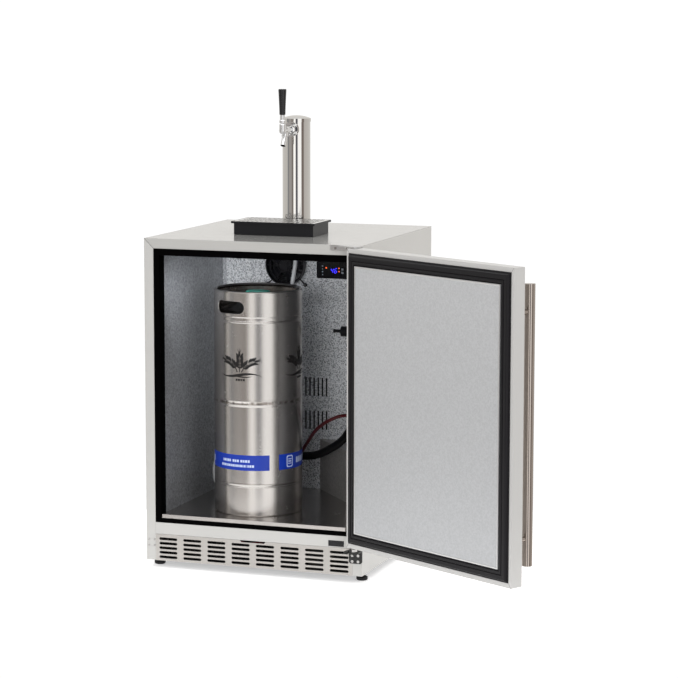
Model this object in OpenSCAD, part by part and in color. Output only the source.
/* [Cabinet] */
// Width over the side panels
cabinet_w = 603; // [590:1:620]
// Depth from the front face to the back panel
cabinet_d = 585; // [580:1:600]
// Height of the top surface over the floor
cabinet_top = 876; // [874:1:880]
// Height of the cabinet's underside over the floor
cabinet_base = 20; // [18:1:24]
// Thickness of the outer sheets
sheet = 1.5; // [1.2:0.1:1.8]
// Width of the side panels' front flanges
flange_w = 26; // [24:1:28]
// Height of the kick grille
grille_h = 71; // [70:1:72]

/* [Cavity] */
// Half width of the cavity between its side sheets
cavity_x = 257; // [255:1:259]
// Height of the cavity floor over the ground
floor_z = 145; // [144:1:146]
// Height of the cavity ceiling
ceiling_z = 832; // [828:1:834]
// Place of the evaporator cover's front face
cover_y = 171; // [170:1:174]
// Height of the compressor cover's top
hump_top = 286; // [280:1:290]

/* [Door] */
// Angle at which the door stands open
door_open = 150; // [90:1:160]
// Thickness of the door without its seal
door_t = 36; // [34:1:38]
// Diameter of the handle bar
handle_d = 25.4; // [22:0.2:28]
// Length of the handle bar
handle_len = 684; // [640:2:690]

/* [Tower and tap] */
// Diameter of the tower column
tower_d = 75; // [74:1:76]
// Height of the column's top edge over the ground
tower_top = 1171; // [1160:1:1180]
// Height of the tap's shank
shank_z = 1150; // [1146:1:1152]

/* [Drip tray] */
// Width of the tray over its rim
tray_w = 235; // [224:1:238]
// Depth of the tray over its rim
tray_d = 130; // [120:1:132]
// Height of the tray
tray_h = 36; // [31:1:37]

/* [Keg] */
// Outer radius of the keg's wall
keg_r = 116.5; // [114:0.5:117]
// Height of the keg
keg_h = 594; // [585:1:596]

/* [Gas bottle] */
// Diameter of the gas bottle
bottle_d = 111; // [104:1:112]

/* [Hidden] */
$fn = 48;
front_y = -cabinet_d / 2;
back_y = cabinet_d / 2;
side_x = cabinet_w / 2;
open_x = side_x - flange_w;
top_flange_z = cabinet_top - flange_w;
rail_bottom = cabinet_base + grille_h + 0.5;
rail_top = 122.3;
gap = 0.3;
liner_t = 1;
cavity_back = 250;
seal_y = front_y - 0.4;
hinge_x = 290;
hinge_y = -320;
door_x = 299.5;
door_in = -302;
door_out = door_in - door_t;
door_bottom = 103;
door_top = 872;
panel_x = 262;
panel_z0 = 145;
panel_z1 = 830;
handle_x = -272;
handle_y = door_out - 45;
handle_mid = 485;
handle_post = 275;
pin_r = 4;
foot_x = 285;
foot_y = 243;
tower_y = 40;
tower_r = tower_d / 2;
tap_y = -66;
lever_z = shank_z + 13;
tray_x = -4.5;
tray_y = -tray_d / 2;
tray_inset = 6;
keg_x = -45;
keg_y = -132;
keg_z = floor_z + gap;
bottle_x = 196;
bottle_y = 105;
bottle_z = hump_top + gap;
reg_z = 599;
fan_x = -77;
fan_z = 768;
fan_r = 56;
ear_r = 77;
ctrl_x0 = 16;
ctrl_x1 = 126;
ctrl_z0 = 736;
ctrl_z1 = 786;
ctrl_y = 155;
key_x = 90.5;
coupler_x = -30;
coupler_y = 68;
cond_fan_x = 40;
cond_fan_y = -222;
cond_fan_z = 68;

// Plan of the compressor cover, from its left rear corner
hump_plan = [[20, cavity_back - 0.3], [20, cover_y], [150, 18], [cavity_x - gap, 18],
    [cavity_x - gap, cavity_back - 0.3]];

// Routes of the hoses, from where each one leaves its fitting
beer_route = [[0, 40, 1128], [0, 40, 1094], [0, 40, 1056], [0, 41, 1018], [0, 41, 980], [0, 40, 942],
    [0, 40, 904], [0, 40, 868], [-2, 42, 836], [-6, 50, 808], [-10, 57, 784], [-15, 61, 760],
    [-20, 62, 734], [-25, 62, 704], [-30, 60, 672], [-37, 56, 638], [-46, 50, 604], [-58, 44, 570],
    [-74, 38, 538], [-94, 32, 506], [-116, 26, 474], [-138, 20, 440], [-158, 14, 404],
    [-176, 8, 366], [-192, 2, 328], [-206, -4, 288], [-218, -6, 246], [-225, -2, 206],
    [-224, 14, 174], [-212, 38, 154], [-188, 62, 151], [-158, 76, 155], [-130, 80, 168],
    [-106, 76, 190], [-88, 70, 207], [-72, 68, 214], [-58, 68, 214]];
gas_route = [[131, 105, 572], [131, 105, 554], [131, 99, 526], [135, 87, 499], [145, 70, 476],
    [157, 54, 458], [169, 42, 440], [177, 35, 419], [176, 34, 399], [165, 40, 384], [150, 48, 378],
    [132, 56, 376], [112, 56, 371], [92, 56, 362], [69, 58, 348], [46, 60, 328], [27, 64, 302],
    [10, 67, 276], [-2, 68, 253], [-6, 68, 237], [-6, 68, 222]];
air_route = [[231, -30, 426], [219, -30, 426], [202, -20, 409], [186, -4, 384], [166, 12, 352],
    [144, 27, 322], [120, 34, 300], [94, 38, 284], [68, 40, 270], [43, 40, 263], [18, 40, 261],
    [-8, 42, 260], [-34, 45, 257], [-60, 52, 251], [-84, 63, 243], [-104, 80, 235],
    [-115, 102, 229], [-118, 123, 228], [-118, 136, 228]];

// ---- Helpers ----

// A plate drawn in X and Z, from y to y + t
module plate_xz(y, t) {
    translate([0, y + t, 0])
        rotate([90, 0, 0])
            linear_extrude(t)
                children();
}

// A block between two corners
module block(a, b) {
    translate(a)
        cube(b - a);
}

module rod_x(r, x0, x1, y, z) {
    translate([x0, y, z])
        rotate([0, 90, 0])
            cylinder(r = r, h = x1 - x0);
}

module rod_y(r, y0, y1, x, z) {
    translate([x, y1, z])
        rotate([90, 0, 0])
            cylinder(r = r, h = y1 - y0);
}

module rod_z(r, z0, z1, x, y) {
    translate([x, y, z0])
        cylinder(r = r, h = z1 - z0);
}

module rect(a, b) {
    translate(a)
        square(b - a);
}

// A slot with round ends, centred, in two dimensions
module slot_2d(length, width) {
    square([length - width, width], center = true);
    for (s = [-1, 1])
        translate([s * (length - width) / 2, 0])
            circle(d = width, $fn = 24);
}

// A round screw head whose axis points along -Y, with a cross recess
module screw_head(x, y, z, r) {
    difference() {
        rod_y(r, y, y + 2, x, z);
        block([x - r * 0.6, y - 0.1, z - 0.5], [x + r * 0.6, y + 0.8, z + 0.5]);
        block([x - 0.5, y - 0.1, z - r * 0.6], [x + 0.5, y + 0.8, z + r * 0.6]);
    }
}

// A hose: one ring of sides round each point of its route
function unit(v) = v / norm(v);
function way(route, i) = unit(route[min(i + 1, len(route) - 1)] - route[max(i - 1, 0)]);
function across(d) = unit(cross(d, abs(d[1]) < 0.9 ? [0, 1, 0] : [1, 0, 0]));
function ring(p, d, r, sides) = let(u = across(d), v = cross(d, u))
    [for (k = [0:sides - 1]) p + r * (cos(360 * k / sides) * u + sin(360 * k / sides) * v)];

module hose(route, r, sides) {
    last = len(route) - 1;
    points = [for (i = [0:last]) each ring(route[i], way(route, i), r, sides)];
    walls = [for (i = [0:last - 1], k = [0:sides - 1])
        [i * sides + k, i * sides + (k + 1) % sides, (i + 1) * sides + (k + 1) % sides,
            (i + 1) * sides + k]];
    ends = [[for (k = [sides - 1:-1:0]) k], [for (k = [0:sides - 1]) last * sides + k]];
    polyhedron(points, concat(walls, ends), convexity = 10);
}

// The door's parts are drawn shut and turned open about the hinge pins
module door_place() {
    translate([hinge_x, hinge_y, 0])
        rotate([0, 0, door_open])
            translate([-hinge_x, -hinge_y, 0])
                children();
}

// ---- Cabinet shell ----

// A side sheet with its mitred front flange; s is -1 for the left side
module side_panel(s) {
    x_out = s * side_x;
    x_in = s * (side_x - sheet);
    block([min(x_out, x_in), front_y, cabinet_base], [max(x_out, x_in), back_y, cabinet_top - sheet - 0.1]);
    plate_xz(front_y, sheet)
        polygon([[x_out, cabinet_base], [s * open_x, cabinet_base], [s * open_x, top_flange_z - 0.3],
            [s * (side_x - 1.5), cabinet_top - 1.8], [x_out, cabinet_top - 1.8]]);
}

module side_panel_left() {
    color("gainsboro")
        side_panel(-1);
}

module side_panel_right() {
    color("gainsboro")
        side_panel(1);
}

module top_panel() {
    color("gainsboro")
        difference() {
            union() {
                block([-side_x, front_y, cabinet_top - sheet], [side_x, back_y, cabinet_top]);
                plate_xz(front_y, sheet)
                    polygon([[-side_x, cabinet_top], [side_x, cabinet_top],
                        [open_x, top_flange_z], [-open_x, top_flange_z]]);
            }
            rod_z(24, cabinet_top - 3, cabinet_top + 1, 0, tower_y);
        }
}

module back_panel() {
    inner_x = side_x - sheet - 0.2;
    color("gainsboro")
        plate_xz(back_y - sheet, sheet)
            difference() {
                rect([-inner_x, cabinet_base], [inner_x, cabinet_top - sheet - 0.1]);
                for (i = [0:9], j = [0:4])
                    translate([-40 + i * 30, 42 + j * 12])
                        slot_2d(22, 5);
                rect([-224.5, 55], [-175.5, 85]);
            }
}

module base_pan() {
    inner_x = side_x - sheet - 0.2;
    color("silver")
        difference() {
            union() {
                block([-inner_x, front_y + 2, cabinet_base], [inner_x, back_y - 2, cabinet_base + 2]);
                for (sx = [-1, 1], sy = [-1, 1])
                    rod_z(12, cabinet_base + 1, cabinet_base + 16, sx * foot_x, sy * foot_y);
            }
            for (sx = [-1, 1], sy = [-1, 1])
                rod_z(5.3, cabinet_base - 1, cabinet_base + 17, sx * foot_x, sy * foot_y);
        }
}

module insulation() {
    x = side_x - sheet - 0.5;
    wall = liner_t + 0.3;
    color("khaki")
        difference() {
            block([-x, front_y + 2.2, 113], [x, back_y - sheet - 0.3, cabinet_top - sheet - 0.3]);
            block([-cavity_x - wall, front_y, floor_z - 1.6], [cavity_x + wall, cavity_back + wall,
                ceiling_z + wall]);
            block([-open_x - 1, front_y, 100], [open_x + 1, front_y + 29, top_flange_z + 1]);
            block([20, 18, 100], [cavity_x, cavity_back, floor_z]);
            rod_z(24, ceiling_z, cabinet_top, 0, tower_y);
        }
}

// The black frame round the opening: four mitred strips with returns
module breaker_frame() {
    o = open_x - 0.3;
    i = 259.5;
    z0 = rail_top + 0.3;
    z1 = floor_z - 10;
    z2 = ceiling_z;
    z3 = top_flange_z - 0.3;
    d = 28;
    color([0.1, 0.1, 0.1]) {
        for (s = [-1, 1]) {
            plate_xz(front_y, 2)
                polygon([[s * o, z0 + 0.2], [s * o, z3 - 0.2], [s * i, z2 - 0.2], [s * i, z1 + 0.2]]);
            translate([0, 0, z1])
                linear_extrude(z2 - z1)
                    polygon([[s * i, front_y + 1], [s * (i + 2), front_y + 1],
                        [s * (cavity_x + 2), front_y + d], [s * cavity_x, front_y + d]]);
        }
        plate_xz(front_y, 2)
            polygon([[-o, z3], [o, z3], [i, z2], [-i, z2]]);
        block([-i + 2.5, front_y + 1, z2], [i - 2.5, front_y + d, z2 + 2]);
        plate_xz(front_y, 2)
            polygon([[-o, z0], [o, z0], [i, z1], [-i, z1]]);
    }
}

module front_rail() {
    color("gainsboro")
        difference() {
            union() {
                block([-open_x + 0.3, front_y, rail_bottom], [open_x - 0.3, front_y + 1.5, rail_top]);
                block([-open_x + 0.3, front_y, rail_top - 1.5], [open_x - 0.3, front_y + 14, rail_top]);
                block([-open_x + 0.3, front_y, rail_bottom], [open_x - 0.3, front_y + 12,
                    rail_bottom + 1.5]);
            }
            block([209.5, front_y - 1, rail_bottom + 2.5], [252.5, front_y + 11, rail_bottom + 18]);
        }
}

module kick_grille() {
    columns = 8;
    rows = 5;
    pitch_x = 68.4;
    pitch_z = 12.2;
    plate_t = 1.3;
    color("silver") {
        plate_xz(front_y, plate_t)
            difference() {
                rect([-open_x + 0.3, cabinet_base], [open_x - 0.3, cabinet_base + grille_h]);
                for (i = [0:columns - 1], j = [0:rows - 1])
                    translate([(i - (columns - 1) / 2) * pitch_x, 30 + j * pitch_z])
                        slot_2d(51, 7);
                polygon([[-36, 92], [-32, 86], [32, 86], [36, 92]]);
            }
        for (s = [-1, 1])
            block([s * 270 - 5, front_y + 1, cabinet_base + 3], [s * 270 + 5, front_y + 14, cabinet_base + 5]);
        block([-30, front_y + 1, 80], [30, front_y + 4, 81.5]);
    }
}

module cavity_floor() {
    lip = cavity_x - 1;
    color("dimgray")
        difference() {
            union() {
                block([-cavity_x + 0.2, front_y + 1, floor_z - 1.2], [cavity_x - 0.2,
                    cavity_back - 0.2, floor_z]);
                block([-lip, front_y, floor_z - 9.7], [lip, front_y + 1.4, floor_z]);
            }
            translate([0, 0, floor_z - 3])
                linear_extrude(5)
                    polygon([[19.7, cavity_back + 1], [19.7, cover_y - 0.2], [149.8, 17.7],
                        [cavity_x, 17.7], [cavity_x, cavity_back + 1]]);
        }
}

// The cavity's sheets: two sides, ceiling and back, and the air spigot on the right
module liner() {
    front = front_y + 28.5;
    color("lightslategray") {
        block([-cavity_x - liner_t, front, floor_z - 1], [-cavity_x, cavity_back, ceiling_z]);
        difference() {
            union() {
                block([cavity_x, front, floor_z - 1], [cavity_x + liner_t, cavity_back, ceiling_z]);
                rod_x(10.5, cavity_x - 26, cavity_x + 0.5, -30, 426);
                rod_x(17, cavity_x - 4, cavity_x + 0.5, -30, 426);
            }
            rod_x(8.5, cavity_x - 30, cavity_x + 2, -30, 426);
        }
        difference() {
            block([-cavity_x - liner_t, front, ceiling_z + 0.1], [cavity_x + liner_t, cavity_back,
                ceiling_z + 1.1]);
            rod_z(24, ceiling_z - 1, ceiling_z + 2, 0, tower_y);
        }
        block([-cavity_x - liner_t, cavity_back + 0.1, floor_z - 1], [cavity_x + liner_t,
            cavity_back + 1.1, ceiling_z + 1.1]);
    }
}

// The box over the compressor in the cavity's right rear corner
module compressor_cover() {
    t = 1.2;
    color("lightslategray")
        difference() {
            translate([0, 0, floor_z - 1])
                linear_extrude(hump_top - floor_z + 1)
                    polygon(hump_plan);
            translate([0, 0, floor_z - 2])
                linear_extrude(hump_top - floor_z + 2 - t)
                    polygon([[20 + t, cavity_back - 1.5], [20 + t, cover_y + 0.6], [150.6, 18 + t],
                        [cavity_x - gap - t, 18 + t], [cavity_x - gap - t, cavity_back - 1.5]]);
        }
}

// ---- Evaporator and control ----

// The sheet in front of the evaporator, with louvre slots, a fan hole and the hose spigot
module evaporator_cover() {
    louvres = 14;
    t = 1.2;
    color("lightslategray") {
        difference() {
            union() {
                plate_xz(cover_y, t)
                    difference() {
                        polygon([[-cavity_x + gap, floor_z + gap], [19.7, floor_z + gap],
                            [19.7, hump_top + gap], [cavity_x - gap, hump_top + gap],
                            [cavity_x - gap, ceiling_z - gap], [-cavity_x + gap, ceiling_z - gap]]);
                        translate([fan_x, fan_z])
                            circle(r = fan_r - 4);
                        for (i = [0:louvres - 1], z = [431, 338])
                            translate([39 - i * 12.16, z])
                                square([4.6, 52], center = true);
                        rect([ctrl_x0 + 4, ctrl_z0 + 4], [ctrl_x1 - 4, ctrl_z1 - 4]);
                    }
                rod_y(10.5, cover_y - 35, cover_y + 1, -118, 228);
                rod_y(17, cover_y - 4, cover_y + 1, -118, 228);
            }
            rod_y(8.5, cover_y - 40, cover_y + 3, -118, 228);
        }
        block([-cavity_x + gap, cover_y - 27, floor_z + gap], [-cavity_x + gap + t, cover_y + 0.5,
            ceiling_z - gap]);
        block([cavity_x - gap - t, cover_y - 27, hump_top + gap], [cavity_x - gap, cover_y + 0.5,
            ceiling_z - gap]);
    }
}

// Fins on four rows of tube, with a drip pan below
module evaporator_coil() {
    fins = 26;
    color("lightgray") {
        for (i = [0:fins - 1])
            block([-232 + i * 12, 192, 500], [-231 + i * 12, 238, 690]);
        for (z = [525, 565, 605, 645], y = [204, 226])
            rod_x(5, -240, 76, y, z);
        block([-246, 186, 482], [90, 244, 484]);
        block([-246, 186, 482], [90, 188, 494]);
        block([-246, 242, 482], [90, 244, 494]);
        for (x = [-236, 74])
            block([x, 190, 483], [x + 2, 240, 695]);
    }
}

// Shroud ring with four ears, guard rings and bars in front, the motor on struts behind
module evaporator_fan_frame() {
    y = cover_y;
    color([0.08, 0.08, 0.08])
        translate([fan_x, 0, fan_z]) {
            difference() {
                union() {
                    rod_y(fan_r, y - 20, y - 0.3, 0, 0);
                    rod_y(fan_r - 4.3, y - 0.5, y + 7, 0, 0);
                    for (a = [45, 135, 225, 315])
                        translate([0, y - 3.3, 0])
                            rotate([0, a, 0]) {
                                block([fan_r - 6, 0, -1.7], [ear_r - 3, 3, 1.7]);
                                rod_y(5.4, 0, 3, ear_r, 0);
                            }
                }
                rod_y(fan_r - 3, y - 21, y - 3, 0, 0);
                rod_y(fan_r - 6.5, y - 4, y + 8, 0, 0);
                for (sx = [-1, 1], sz = [-1, 1])
                    rod_y(2.3, y - 5, y, sx * ear_r * sin(45), sz * ear_r * sin(45));
            }
            for (r = [20, 31, 42])
                difference() {
                    rod_y(r + 0.8, y - 19, y - 17.4, 0, 0);
                    rod_y(r - 0.8, y - 20, y - 16, 0, 0);
                }
            rod_y(10, y - 19, y - 17.4, 0, 0);
            for (a = [0, 60, 120, 180, 240, 300])
                translate([0, y - 19, 0])
                    rotate([0, a, 0])
                        block([8, 0, -0.8], [fan_r - 2, 1.6, 0.8]);
            rod_y(16, y + 2, y + 16, 0, 0);
            for (a = [30, 150, 270])
                translate([0, y + 4, 0])
                    rotate([0, a, 0])
                        block([12, 0, -3], [fan_r - 5.5, 2, 3]);
        }
}

// A hub with pitched blades, its axis along Y
module fan_blade(r, hub, depth, blades, pitch) {
    rotate([90, 0, 0])
        cylinder(r = hub, h = depth, center = true);
    intersection() {
        for (i = [0:blades - 1])
            rotate([0, i * 360 / blades, 0])
                translate([(r + hub) / 2 - 2, 0, 0])
                    rotate([pitch, 0, 0])
                        cube([r - hub + 6, 1.4, r * 0.62], center = true);
        rotate([90, 0, 0])
            cylinder(r = r, h = depth, center = true);
    }
}

module evaporator_fan_blade() {
    color([0.13, 0.13, 0.13])
        translate([fan_x, cover_y - 9, fan_z])
            fan_blade(fan_r - 8, 17, 14, 5, 32);
}

module controller_case() {
    color([0.1, 0.1, 0.11])
        difference() {
            union() {
                block([ctrl_x0, ctrl_y, ctrl_z0], [ctrl_x1, cover_y - 0.3, ctrl_z1]);
                block([ctrl_x0 + 5, cover_y - 1, ctrl_z0 + 5], [ctrl_x1 - 5, cover_y + 38, ctrl_z1 - 5]);
            }
            block([ctrl_x0 + 6, ctrl_y - 1, ctrl_z0 + 6], [ctrl_x1 - 6, ctrl_y + 1, ctrl_z1 - 6]);
            for (b = [[key_x, 761.8], [key_x, 752.8], [106, 757.3]])
                block([b[0] - 3.2, ctrl_y - 1, b[1] - 3], [b[0] + 3.2, ctrl_y + 5, b[1] + 3]);
        }
}

// A push button of the controller, centred at x, z
module push_button(x, z) {
    color("lightgray")
        block([x - 2.8, ctrl_y + 0.2, z - 2.6], [x + 2.8, ctrl_y + 3.6, z + 2.6]);
}

module button_up() {
    push_button(key_x, 761.8);
}

module button_down() {
    push_button(key_x, 752.8);
}

module button_set() {
    push_button(106, 757.3);
}

module door_sensor() {
    color([0.12, 0.12, 0.12]) {
        block([210, front_y - 0.8, rail_bottom + 3], [252, front_y + 10, rail_bottom + 17.5]);
        block([234, front_y - 1.6, rail_bottom + 6], [246, front_y - 0.5, rail_bottom + 14]);
    }
}

// ---- Hinges and screws ----

module hinge_bracket_upper() {
    y = front_y - gap;
    color("silver") {
        block([216, y - 2.7, 862.5], [303, y, 876]);
        hull() {
            block([236, y - 2.7, 873], [303, y, 876]);
            rod_z(11, 873, 876, hinge_x, hinge_y);
        }
        rod_z(pin_r, 853, 875, hinge_x, hinge_y);
    }
}

module hinge_bracket_lower() {
    y = front_y - gap;
    color([0.1, 0.1, 0.1]) {
        difference() {
            plate_xz(y - 4, 4)
                polygon([[267, 86], [267, 58], [271, 53.5], [299, 53.5], [303, 58], [303, 86]]);
            for (x = [277, 293], z = [59.5, 75])
                rod_y(2.2, y - 5, y + 1, x, z);
        }
        hull() {
            block([267, y - 4, 84.5], [303, y, 89.5]);
            rod_z(12, 84.5, 89.5, hinge_x, hinge_y);
        }
        hull() {
            block([267, y - 4, 84.5], [280, y, 89.5]);
            rod_z(5, 84.5, 89.5, 266, hinge_y - 1);
        }
        rod_z(pin_r, 80, 122, hinge_x, hinge_y);
    }
}

module fasteners() {
    y = front_y - gap;
    color("whitesmoke") {
        for (x = [277, 293], z = [59.5, 75])
            screw_head(x, y - 6.2, z, 3.6);
        for (x = [230, 262])
            screw_head(x, y - 4.9, 868, 3.4);
        for (x = [-295, -279], z = [59.5, 75.5])
            screw_head(x, y - 1.8, z, 2.4);
        for (sx = [-1, 1], sz = [-1, 1])
            screw_head(fan_x + sx * ear_r * sin(45), cover_y - 5.6, fan_z + sz * ear_r * sin(45), 3.4);
        for (x = [ctrl_x0 + 3, ctrl_x1 - 3])
            screw_head(x, ctrl_y - 2.2, ctrl_z1 - 3, 2.2);
        difference() {
            rod_z(8, 89.8, 97, hinge_x, hinge_y, $fn = 6);
            rod_z(pin_r + 0.2, 89, 98, hinge_x, hinge_y);
        }
    }
}

// ---- Door ----

// The outer pan, with a return flange round its inner edge
module door_skin() {
    t = 1.2;
    r = 12;
    color("gainsboro")
        door_place()
            difference() {
                block([-door_x, door_out, door_bottom], [door_x, door_in, door_top]);
                block([-door_x + t, door_out + t, door_bottom + t], [door_x - t, door_in - t, door_top - t]);
                block([-door_x + r, door_in - 5, door_bottom + r], [door_x - r, door_in + 1, door_top - r]);
                rod_z(7.8, door_bottom - 1, door_bottom + 3, hinge_x, hinge_y);
                rod_z(7.8, door_top - 3, door_top + 1, hinge_x, hinge_y);
            }
}

module door_foam() {
    t = 1.5;
    color("khaki")
        door_place()
            difference() {
                union() {
                    block([-door_x + t, door_out + t, door_bottom + t], [door_x - t, door_in - t,
                        door_top - t]);
                    block([-panel_x + 2, door_in - 3, panel_z0 + 2], [panel_x - 2, door_in + 6,
                        panel_z1 - 2]);
                }
                rod_z(7.8, door_bottom, door_bottom + 24, hinge_x, hinge_y);
                rod_z(7.8, door_top - 24, door_top, hinge_x, hinge_y);
            }
}

// The inner sheet: a raised field and a flat edge under the seal
module door_inner_panel() {
    e = door_x - 12.5;
    z0 = door_bottom + 12.5;
    z1 = door_top - 12.5;
    rise = 8;
    color("silver")
        door_place()
            difference() {
                union() {
                    block([-e, door_in - 1.3, z0], [e, door_in - 0.3, z1]);
                    block([-panel_x, door_in - 1, panel_z0], [panel_x, door_in + rise, panel_z1]);
                }
                block([-panel_x + 1, door_in - 2, panel_z0 + 1], [panel_x - 1, door_in + rise - 1,
                    panel_z1 - 1]);
            }
}

// The magnetic seal: a base strip and a raised bellows strip, both rings
module door_gasket() {
    y0 = door_in + 0.1;
    o = 291;
    color([0.13, 0.13, 0.13])
        door_place()
            seal_rings(y0, o);
}

module seal_rings(y0, o) {
    z0 = door_bottom + 12;
    z1 = door_top - 11;
    i = panel_x + 0.6;
    plate_xz(y0, 4)
        difference() {
            rect([-o, z0], [o, z1]);
            rect([-i, panel_z0 - 0.6], [i, panel_z1 + 0.6]);
        }
    plate_xz(y0 + 3.9, 5)
        difference() {
            rect([-o + 4, z0 + 4], [o - 4, z1 - 4]);
            rect([-i - 3, panel_z0 - 3.6], [i + 3, panel_z1 + 3.6]);
        }
}

module door_handle() {
    color("silver")
        door_place() {
            rod_z(handle_d / 2, handle_mid - handle_len / 2, handle_mid + handle_len / 2, handle_x, handle_y);
            for (s = [-1, 1]) {
                rod_y(6.2, handle_y, door_out - 0.2, handle_x, handle_mid + s * handle_post);
                rod_y(9, door_out - 3.2, door_out - 0.2, handle_x, handle_mid + s * handle_post);
            }
        }
}

module door_bushings() {
    color("white")
        door_place()
            for (z = [door_bottom - 0.4, door_top - 21])
                difference() {
                    rod_z(7.5, z, z + 21.4, hinge_x, hinge_y);
                    rod_z(pin_r + 0.06, z - 1, z + 23, hinge_x, hinge_y);
                }
}

// ---- Feet ----

module foot(x, y) {
    color([0.1, 0.1, 0.1])
        translate([x, y, 0])
            rotate_extrude()
                polygon([[0, 0], [13, 0], [15, 2.5], [15, 8], [12, 10], [5, 10], [5, 62], [0, 62]]);
}

module foot_front_left() {
    foot(-foot_x, -foot_y);
}

module foot_front_right() {
    foot(foot_x, -foot_y);
}

module foot_rear_left() {
    foot(-foot_x, foot_y);
}

module foot_rear_right() {
    foot(foot_x, foot_y);
}

// ---- Tower and tap ----

module tower_column() {
    color("silver")
        difference() {
            rod_z(tower_r, cabinet_top + gap, tower_top, 0, tower_y, $fn = 96);
            rod_z(tower_r - 1.5, cabinet_top - 1, tower_top + 1, 0, tower_y, $fn = 96);
            rod_y(11.5, -10, 20, 0, shank_z);
        }
}

module tower_cap() {
    r = tower_r + 1.5;
    z = tower_top - 2;
    color("silver")
        translate([0, tower_y, z])
            rotate_extrude($fn = 96)
                polygon([[tower_r + 0.2, 0], [r, 0], [r, 9], [0.8 * r, 12], [0.58 * r, 14.5],
                    [0.3 * r, 16.4], [0, 17], [0, 14], [0.5 * r, 12], [0.8 * r, 8.5],
                    [tower_r - 2, 3.2], [tower_r + 0.2, 3.2]]);
}

// The flange inside the column, the threaded pipe through the top and the nut below it
module tower_mount() {
    color("gray") {
        difference() {
            union() {
                rod_z(35.6, cabinet_top + gap, cabinet_top + 4.5, 0, tower_y);
                rod_z(23.3, 820, cabinet_top + 2, 0, tower_y);
            }
            rod_z(20, 810, cabinet_top + 10, 0, tower_y);
        }
        difference() {
            rod_z(32, ceiling_z - 10, ceiling_z - 0.3, 0, tower_y, $fn = 8);
            rod_z(23.5, ceiling_z - 12, ceiling_z, 0, tower_y);
        }
    }
}

// The threaded tube through the column, its flange, lock nut, union ring and tail elbow
module shank() {
    color("silver")
        difference() {
            union() {
                rod_y(11, -20, 16, 0, shank_z);
                rod_y(7, 14, 46, 0, shank_z);
                rod_z(6, shank_z - 22, shank_z, 0, tower_y);
                difference() {
                    rod_y(19.5, -4, 9, 0, shank_z);
                    rod_z(tower_r + 0.3, shank_z - 30, shank_z + 30, 0, tower_y, $fn = 96);
                }
                rod_y(16.4, -19, -6, 0, shank_z);
                rod_y(15, 9, 14, 0, shank_z);
            }
            rod_y(3.4, -21, tower_y + 1, 0, shank_z);
            rod_z(2.8, shank_z - 24, shank_z, 0, tower_y);
            for (a = [30:60:330])
                translate([0, -12.5, shank_z])
                    rotate([0, a, 0])
                        translate([0, 0, 13])
                            cylinder(r = 2.3, h = 5);
        }
}

module faucet_body() {
    color("silver")
        difference() {
            union() {
                translate([0, -20, shank_z])
                    rotate([90, 0, 0])
                        cylinder(r1 = 11.5, r2 = 8.6, h = 26);
                rod_y(8.6, tap_y, -45, 0, shank_z);
                translate([0, tap_y, shank_z])
                    sphere(r = 9.6);
                rod_z(8.8, shank_z, lever_z + 2, 0, tap_y);
                translate([0, tap_y, lever_z + 2])
                    cylinder(r1 = 8.8, r2 = 6.9, h = 3.4);
                translate([0, tap_y + 3.7, shank_z - 40.2])
                    rotate([-30, 0, 0]) {
                        cylinder(r1 = 7.1, r2 = 7.6, h = 38);
                        translate([0, 0, 27])
                            cylinder(r = 8.7, h = 5);
                    }
            }
            rod_y(4.3, tap_y - 8, -19, 0, shank_z);
            rod_z(6.1, shank_z + 4, lever_z + 8, 0, tap_y);
            translate([0, tap_y + 3.7, shank_z - 40.2])
                rotate([-30, 0, 0]) {
                    translate([0, 0, -1])
                        cylinder(r = 6.1, h = 13);
                    translate([0, 0, 5])
                        cylinder(r = 4.2, h = 36);
                }
        }
}

module faucet_plunger() {
    color("gainsboro")
        rod_y(4, tap_y - 2, -34, 0, shank_z);
}

// The lever: a ball and stem in the body, a cup over the body's neck and the threaded ferrule
module faucet_lever() {
    z = lever_z;
    color("silver")
        translate([0, tap_y, 0]) {
            rotate_extrude()
                polygon([[0, z - 7], [2.2, z - 6], [2.5, z], [2.5, z + 11], [7.6, z + 11], [7.6, z + 7.2],
                    [8.8, z + 7.2], [8.8, z + 13], [7, z + 15], [7, z + 26], [6.2, z + 28.4],
                    [0, z + 28.4]]);
            translate([0, 0, z])
                sphere(r = 5);
            rod_x(1.6, -5.8, 5.8, 0, z);
        }
}

module tap_handle() {
    z = lever_z + 28.6;
    color([0.08, 0.08, 0.08])
        translate([0, tap_y, z])
            rotate_extrude()
                polygon([[0, 0], [7.6, 0], [8.1, 1], [8.4, 14], [9.2, 34], [10.2, 54], [10.8, 64],
                    [10.6, 66.5], [9, 67.6], [0, 67.6]]);
}

// ---- Drip tray ----

module drip_tray() {
    w = tray_w / 2;
    d = tray_d / 2;
    i = tray_inset;
    z0 = cabinet_top + gap;
    z1 = cabinet_top + tray_h;
    color([0.1, 0.1, 0.11])
        translate([tray_x, tray_y, 0])
            difference() {
                union() {
                    block([-w + i, -d + i, z0], [w - i, d - i, z1]);
                    block([-w, -d, z1 - 5.5], [w, d, z1]);
                }
                block([-w + i + 2, -d + i + 2, z0 + 2], [w - i - 2, d - i - 2, z1 + 1]);
                block([-w + 2, -d + 2, z1 - 2], [w - 2, d - 2, z1 + 1]);
            }
}

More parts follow.
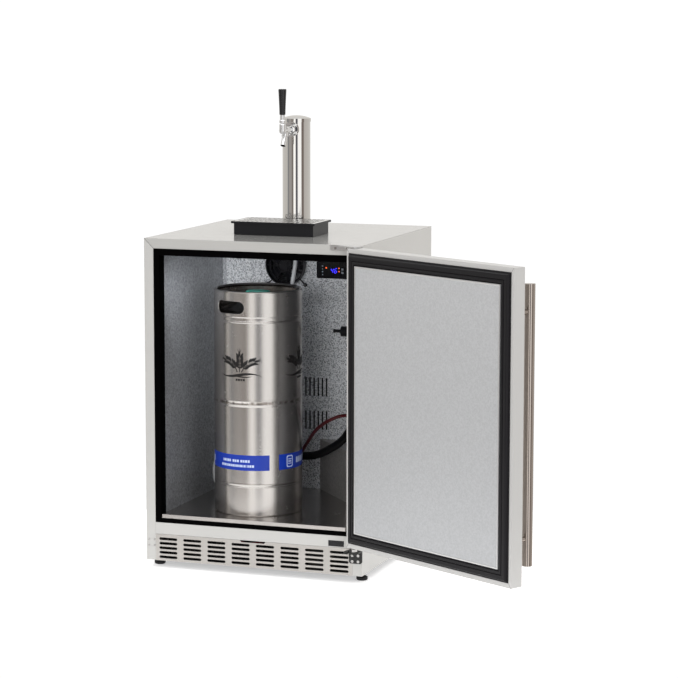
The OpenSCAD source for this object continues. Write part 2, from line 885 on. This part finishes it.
// The grid: slots side by side along the depth
module drip_grid() {
    w = tray_w / 2 - 2.4;
    d = tray_d / 2 - 2.4;
    z = cabinet_top + tray_h - 1.8;
    slots = 17;
    pitch = 12.6;
    color("silver")
        translate([tray_x, tray_y, z])
            difference() {
                block([-w, -d, 0], [w, d, 1.5]);
                for (i = [0:slots - 1])
                    block([(i - (slots - 1) / 2) * pitch - 2.7, -d + 6.5, -1],
                        [(i - (slots - 1) / 2) * pitch + 2.7, d - 6.5, 3]);
            }
}

// ---- Keg ----

// The vessel, its two skirts with rolled rims, three beads and two hand holes
module keg_shell() {
    r = keg_r;
    t = 2;
    h = keg_h;
    hole_z = 551.7;
    color("silver")
        translate([keg_x, keg_y, keg_z])
            difference() {
                union() {
                    rotate_extrude($fn = 96)
                        difference() {
                            polygon([[0, 24], [60, 30], [95, 44], [r - 4, 66], [r, 84], [r, 290],
                                [r + 1.6, 296], [r, 301], [r + 1.6, 306], [r, 311], [r, 511],
                                [r + 1, 513], [r, 515.5], [r - 0.9, 517], [r - 0.9, 525],
                                [r + 0.4, 528], [r + 0.4, 535], [r, 538],
                                [r, h - 4.5], [r - 1.3, h - 1.3], [r - 4.5, h], [r - 7.7, h - 1.3],
                                [r - 9, h - 4.5], [r - 7.7, h - 7.7], [r - 4.5, h - 9], [r - t, h - 10],
                                [r - t - 0.4, 521], [r - 8, 527], [95, 540], [60, 554], [30, 562], [0, 562]]);
                            polygon([[0, 26], [60, 32], [94, 46], [r - t - 4, 67], [r - t, 85],
                                [r - t - 0.4, 513], [r - 9, 524.5], [94, 538], [60, 552], [30, 560], [0, 560]]);
                        }
                    rotate_extrude($fn = 96)
                        polygon([[r - 9, 0], [r - 1.5, 0], [r, 3], [r, 76], [r + 0.5, 77.5], [r + 0.5, 79],
                            [r - 0.8, 80.5], [r - 0.8, 83.5], [r + 0.5, 86], [r, 88], [r - t, 88],
                            [r - t, 8], [r - 9, 6]]);
                }
                for (a = [-20, 160])
                    rotate([0, 0, a])
                        translate([0, -100, hole_z])
                            rotate([90, 0, 0])
                                linear_extrude(40)
                                    slot_2d(92, 33);
            }
}

// The neck that takes a coupler, and the spear inside the vessel
module keg_valve() {
    color("gray")
        translate([keg_x, keg_y, keg_z]) {
            difference() {
                union() {
                    rod_z(26, 562.2, 574, 0, 0);
                    rod_z(29, 568, 573, 0, 0);
                }
                rod_z(16, 566, 580, 0, 0);
            }
            difference() {
                rod_z(7.5, 38, 559.5, 0, 0);
                rod_z(6.2, 36, 557, 0, 0);
            }
        }
}

module keg_cap() {
    color("seagreen")
        translate([keg_x, keg_y, keg_z])
            difference() {
                rod_z(32, 569, 584, 0, 0);
                rod_z(29.6, 568, 574.3, 0, 0);
            }
}

// ---- Gas supply ----

module gas_bottle() {
    r = bottle_d / 2;
    color("lightgray")
        translate([bottle_x, bottle_y, bottle_z]) {
            rotate_extrude($fn = 64)
                polygon([[0, 0], [r - 10, 0], [r - 3, 3], [r, 10], [r, 216], [r - 3, 234], [r - 12, 250],
                    [28, 262], [17, 268], [15, 276], [15, 280], [0, 280]]);
            rod_z(13, 280, 322, 0, 0);
            rod_z(5, 320, 330, 0, 0);
            rod_x(10, -24, 0, 0, reg_z - bottle_z);
        }
}

module bottle_knob() {
    color([0.1, 0.1, 0.1])
        translate([bottle_x, bottle_y, bottle_z])
            difference() {
                union() {
                    rod_z(17, 325, 338, 0, 0);
                    for (a = [0:45:315])
                        rod_z(3.2, 325, 338, 16 * cos(a), 16 * sin(a));
                }
                rod_z(5.2, 324, 332, 0, 0);
            }
}

// Inlet nut, body, relief valve, outlet barb and two gauges
module regulator() {
    y = bottle_y;
    color([0.15, 0.15, 0.15]) {
        difference() {
            rod_x(14, 150, 174.5, y, reg_z, $fn = 6);
            rod_x(10.3, 160, 180, y, reg_z);
        }
        rod_x(14, 106.6, 151, y, reg_z);
        rod_x(5, 100.5, 107, y, reg_z);
        rod_z(7, reg_z - 20, reg_z, 150, y);
    }
    color("peru") {
        rod_x(4.2, 83.3, 101, y, reg_z);
        rod_x(5.2, 83.3, 88, y, reg_z);
        rod_z(4.5, 572, reg_z - 8, 131, y);
        rod_z(4, reg_z + 5, 626, 146, y - 9);
        rod_y(4, y - 24, y, 166, reg_z);
    }
    color("gainsboro") {
        rod_y(19, y - 20, y - 5, 146, 642);
        rod_y(17, y - 37, y - 23, 168, reg_z);
    }
}

module regulator_knob() {
    color([0.1, 0.1, 0.1])
        translate([150, bottle_y, 0])
            difference() {
                union() {
                    rod_z(10, 562, reg_z - 15, 0, 0);
                    rod_z(11.4, 563, 576, 0, 0);
                }
                rod_z(7.3, reg_z - 21, reg_z - 14, 0, 0);
            }
}

// The keg coupler stands on the floor behind the keg: lugged base, body, gas elbow, beer elbow
module keg_coupler() {
    z = floor_z + gap;
    color("silver")
        translate([coupler_x, coupler_y, z]) {
            rod_z(16, 0, 10, 0, 0);
            difference() {
                rod_z(30, 8, 18, 0, 0);
                block([-40, 14, 5], [40, 40, 15]);
            }
            rod_z(19, 17, 58, 0, 0);
            rod_z(12, 57, 76, 0, 0);
            rod_x(7, 0, 24, 0, 46);
            rod_z(5.5, 46, 222 - z, 24, 0);
            rod_x(5.5, -28, 0, 0, 214 - z);
            difference() {
                for (s = [-1, 1])
                    block([s * 16 - 2.5, -33, 40], [s * 16 + 2.5, -8, 66]);
                rod_x(2.56, -20, 20, -26, 58);
            }
        }
}

module coupler_handle() {
    color([0.12, 0.12, 0.12])
        translate([coupler_x, coupler_y - 26, floor_z + gap + 58]) {
            rod_x(5, -13.1, 13.1, 0, 0);
            rod_x(2.5, -18.4, 18.4, 0, 0);
            rod_y(4, -8, -2, 0, 0);
            rod_y(6.5, -34, -7, 0, 0);
        }
}

module beer_line() {
    color("whitesmoke")
        hose(beer_route, 5.5, 10);
}

module gas_hose() {
    color("firebrick")
        hose(gas_route, 4.75, 10);
}

module air_hose() {
    color([0.08, 0.08, 0.08])
        hose(air_route, 11, 12);
}

// ---- Machine compartment ----

// The compressor with its terminal box, the condenser coil and the pipes
module condensing_unit() {
    cx = 180;
    cy = 112;
    color([0.12, 0.12, 0.12])
        translate([cx, cy, 0]) {
            rotate_extrude()
                polygon([[0, 34], [40, 36], [58, 46], [64, 62], [64, 122], [66, 122], [66, 126],
                    [64, 126], [64, 168], [56, 190], [38, 202], [0, 206]]);
            for (sx = [-1, 1])
                block([sx * 52 - 12, -60, 28], [sx * 52 + 12, 60, 36]);
            for (sx = [-1, 1], sy = [-1, 1])
                rod_z(9, 22.3, 29, sx * 52, sy * 50);
            block([-86, -24, 80], [-60, 24, 130]);
        }
    color("dimgray") {
        for (i = [0:23])
            block([-250 + i * 10, -262, 30], [-249 + i * 10, -204, 106]);
        for (z = [44, 68, 92], y = [-248, -218])
            rod_x(4, -256, -10, y, z);
        block([-254, -264, 24], [-12, -202, 31]);
    }
    color("peru") {
        rod_y(3.5, -218, 112, -14, 92);
        rod_x(3.5, -14, 130, 112, 92);
        rod_y(3.5, -248, 60, -24, 44);
        rod_x(3.5, -24, 118, 60, 44);
        rod_z(3.5, 44, 62, 118, 60);
        rod_y(3.5, 60, 100, 118, 62);
        rod_x(3.5, 118, 140, 100, 62);
    }
}

module condenser_fan_frame() {
    y = cond_fan_y;
    color([0.1, 0.1, 0.1])
        translate([cond_fan_x, y, cond_fan_z]) {
            difference() {
                block([-45, -10, -45.5], [45, 10, 43]);
                rod_y(39, -11, 11, 0, 0);
            }
            rod_y(14, 8, 34, 0, 0);
            for (a = [45, 135, 225, 315])
                rotate([0, a, 0])
                    block([12, 8, -2.5], [46, 10, 2.5]);
        }
}

module condenser_fan_blade() {
    color("lightgray")
        translate([cond_fan_x, cond_fan_y - 1, cond_fan_z])
            fan_blade(37, 12, 15, 5, 32);
}

// Mains inlet in the back panel, with three contact pins in its socket
module power_inlet() {
    y = back_y;
    color([0.1, 0.1, 0.1]) {
        difference() {
            union() {
                block([-224, y - 24, 55.5], [-176, y + 0.5, 84.5]);
                block([-228, y + gap, 51], [-172, y + 2.3, 89]);
            }
            block([-213, y - 16, 61], [-187, y + 3, 79]);
        }
        for (x = [-207, -200, -193])
            block([x - 1, y - 17, x == -200 ? 72 : 66], [x + 1, y - 3, x == -200 ? 76 : 70]);
    }
}

side_panel_left();
side_panel_right();
top_panel();
back_panel();
base_pan();
insulation();
breaker_frame();
front_rail();
kick_grille();
cavity_floor();
liner();
compressor_cover();
evaporator_cover();
evaporator_coil();
evaporator_fan_frame();
evaporator_fan_blade();
controller_case();
button_up();
button_down();
button_set();
door_sensor();
hinge_bracket_upper();
hinge_bracket_lower();
fasteners();
door_skin();
door_foam();
door_inner_panel();
door_gasket();
door_handle();
door_bushings();
foot_front_left();
foot_front_right();
foot_rear_left();
foot_rear_right();
tower_column();
tower_cap();
tower_mount();
shank();
faucet_body();
faucet_plunger();
faucet_lever();
tap_handle();
drip_tray();
drip_grid();
keg_shell();
keg_valve();
keg_cap();
gas_bottle();
bottle_knob();
regulator();
regulator_knob();
keg_coupler();
coupler_handle();
beer_line();
gas_hose();
air_hose();
condensing_unit();
condenser_fan_frame();
condenser_fan_blade();
power_inlet();
